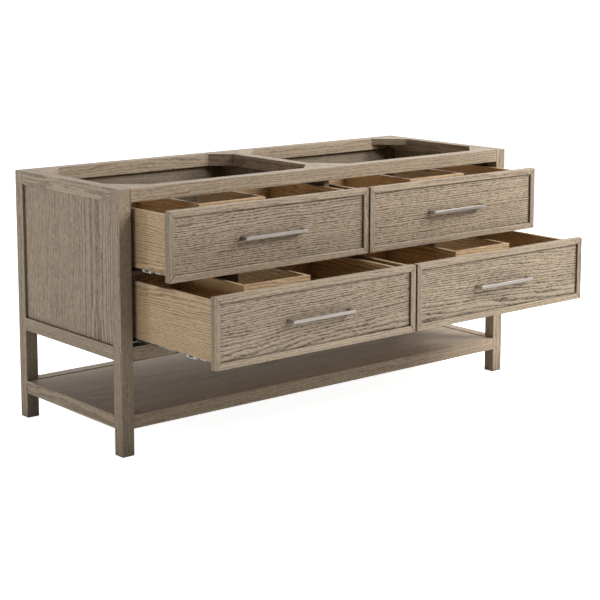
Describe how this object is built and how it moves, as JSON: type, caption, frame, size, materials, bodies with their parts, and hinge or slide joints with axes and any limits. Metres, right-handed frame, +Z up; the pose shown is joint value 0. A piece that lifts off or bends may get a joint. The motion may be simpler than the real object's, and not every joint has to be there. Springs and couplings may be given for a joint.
{
  "type": "bathroom vanity cabinet",
  "caption": "Wide oak bathroom vanity base: square posts, framed drawers notched round the waste pipes, open basin framing on top and a low open shelf.",
  "frame": {"origin": "on the floor, in the middle of the footprint with the drawers drawn out as modelled", "axes": "+X to the right along the cabinet's width, +Y towards the wall, +Z up; the drawers open towards -Y"},
  "size_m": [1.524, 0.9496, 0.752],
  "materials": {
    "oak_frame": "grey-brown stained oak, matt",
    "oak_panel": "grey-brown stained oak veneer, matt",
    "oak_front": "grey-brown stained oak, wire-brushed, matt",
    "drawer_ash": "clear satin lacquer",
    "satin_nickel": "satin",
    "galvanised_steel": "zinc-plated"
  },
  "bodies": {
    "carcass": {"post_front_left": "oak_frame", "post_front_right": "oak_frame", "post_back_left": "oak_frame", "post_back_right": "oak_frame", "side_bottom_rail_left": "oak_frame", "shelf_rail_left": "oak_frame", "side_top_rail_left": "oak_frame", "side_panel_left": "oak_panel", "side_bottom_rail_right": "oak_frame", "shelf_rail_right": "oak_frame", "side_top_rail_right": "oak_frame", "side_panel_right": "oak_panel", "front_top_rail": "oak_frame", "front_bottom_rail": "oak_frame", "shelf_rail_front": "oak_frame", "back_top_rail": "oak_frame", "back_bottom_rail": "oak_frame", "shelf_rail_back": "oak_frame", "bottom_panel": "oak_panel", "shelf_panel": "oak_panel", "back_panel": "oak_panel", "cross_rail": "oak_frame", "centre_partition": "oak_panel", "upper_left_outer_slide_rail": "galvanised_steel", "upper_left_inner_slide_rail": "galvanised_steel", "upper_right_outer_slide_rail": "galvanised_steel", "upper_right_inner_slide_rail": "galvanised_steel", "lower_left_outer_slide_rail": "galvanised_steel", "lower_left_inner_slide_rail": "galvanised_steel", "lower_right_outer_slide_rail": "galvanised_steel", "lower_right_inner_slide_rail": "galvanised_steel"},
    "upper_left_drawer": {"upper_left_front_frame": "oak_front", "upper_left_front_panel": "oak_front", "upper_left_box": "drawer_ash", "upper_left_box_bottom": "drawer_ash", "upper_left_pull": "satin_nickel"},
    "upper_left_runners": {"upper_left_outer_slide_runner": "galvanised_steel", "upper_left_inner_slide_runner": "galvanised_steel"},
    "upper_right_drawer": {"upper_right_front_frame": "oak_front", "upper_right_front_panel": "oak_front", "upper_right_box": "drawer_ash", "upper_right_box_bottom": "drawer_ash", "upper_right_pull": "satin_nickel"},
    "upper_right_runners": {"upper_right_outer_slide_runner": "galvanised_steel", "upper_right_inner_slide_runner": "galvanised_steel"},
    "lower_left_drawer": {"lower_left_front_frame": "oak_front", "lower_left_front_panel": "oak_front", "lower_left_box": "drawer_ash", "lower_left_box_bottom": "drawer_ash", "lower_left_pull": "satin_nickel"},
    "lower_left_runners": {"lower_left_outer_slide_runner": "galvanised_steel", "lower_left_inner_slide_runner": "galvanised_steel"},
    "lower_right_drawer": {"lower_right_front_frame": "oak_front", "lower_right_front_panel": "oak_front", "lower_right_box": "drawer_ash", "lower_right_box_bottom": "drawer_ash", "lower_right_pull": "satin_nickel"},
    "lower_right_runners": {"lower_right_outer_slide_runner": "galvanised_steel", "lower_right_inner_slide_runner": "galvanised_steel"}
  },
  "joints": [
    {"name": "upper_left_drawer_slide", "type": "slide", "parent": "carcass", "child": "upper_left_drawer", "axis": [0, -1, 0], "range_m": [-0.1725, 0.2325]},
    {"name": "upper_left_runner_slide", "type": "slide", "parent": "carcass", "child": "upper_left_runners", "axis": [0, -1, 0], "range_m": [-0.08625, 0.11625]},
    {"name": "upper_right_drawer_slide", "type": "slide", "parent": "carcass", "child": "upper_right_drawer", "axis": [0, -1, 0], "range_m": [-0.1725, 0.2325]},
    {"name": "upper_right_runner_slide", "type": "slide", "parent": "carcass", "child": "upper_right_runners", "axis": [0, -1, 0], "range_m": [-0.08625, 0.11625]},
    {"name": "lower_left_drawer_slide", "type": "slide", "parent": "carcass", "child": "lower_left_drawer", "axis": [0, -1, 0], "range_m": [-0.3745, 0.0305]},
    {"name": "lower_left_runner_slide", "type": "slide", "parent": "carcass", "child": "lower_left_runners", "axis": [0, -1, 0], "range_m": [-0.18725, 0.01525]},
    {"name": "lower_right_drawer_slide", "type": "slide", "parent": "carcass", "child": "lower_right_drawer", "axis": [0, -1, 0], "range_m": [-0.3745, 0.0305]},
    {"name": "lower_right_runner_slide", "type": "slide", "parent": "carcass", "child": "lower_right_runners", "axis": [0, -1, 0], "range_m": [-0.18725, 0.01525]}
  ],
  "couplings": [
    {"joint": "upper_left_runner_slide", "follows": "upper_left_drawer_slide", "ratio": 0.5},
    {"joint": "upper_right_runner_slide", "follows": "upper_right_drawer_slide", "ratio": 0.5},
    {"joint": "lower_left_runner_slide", "follows": "lower_left_drawer_slide", "ratio": 0.5},
    {"joint": "lower_right_runner_slide", "follows": "lower_right_drawer_slide", "ratio": 0.5}
  ]
}
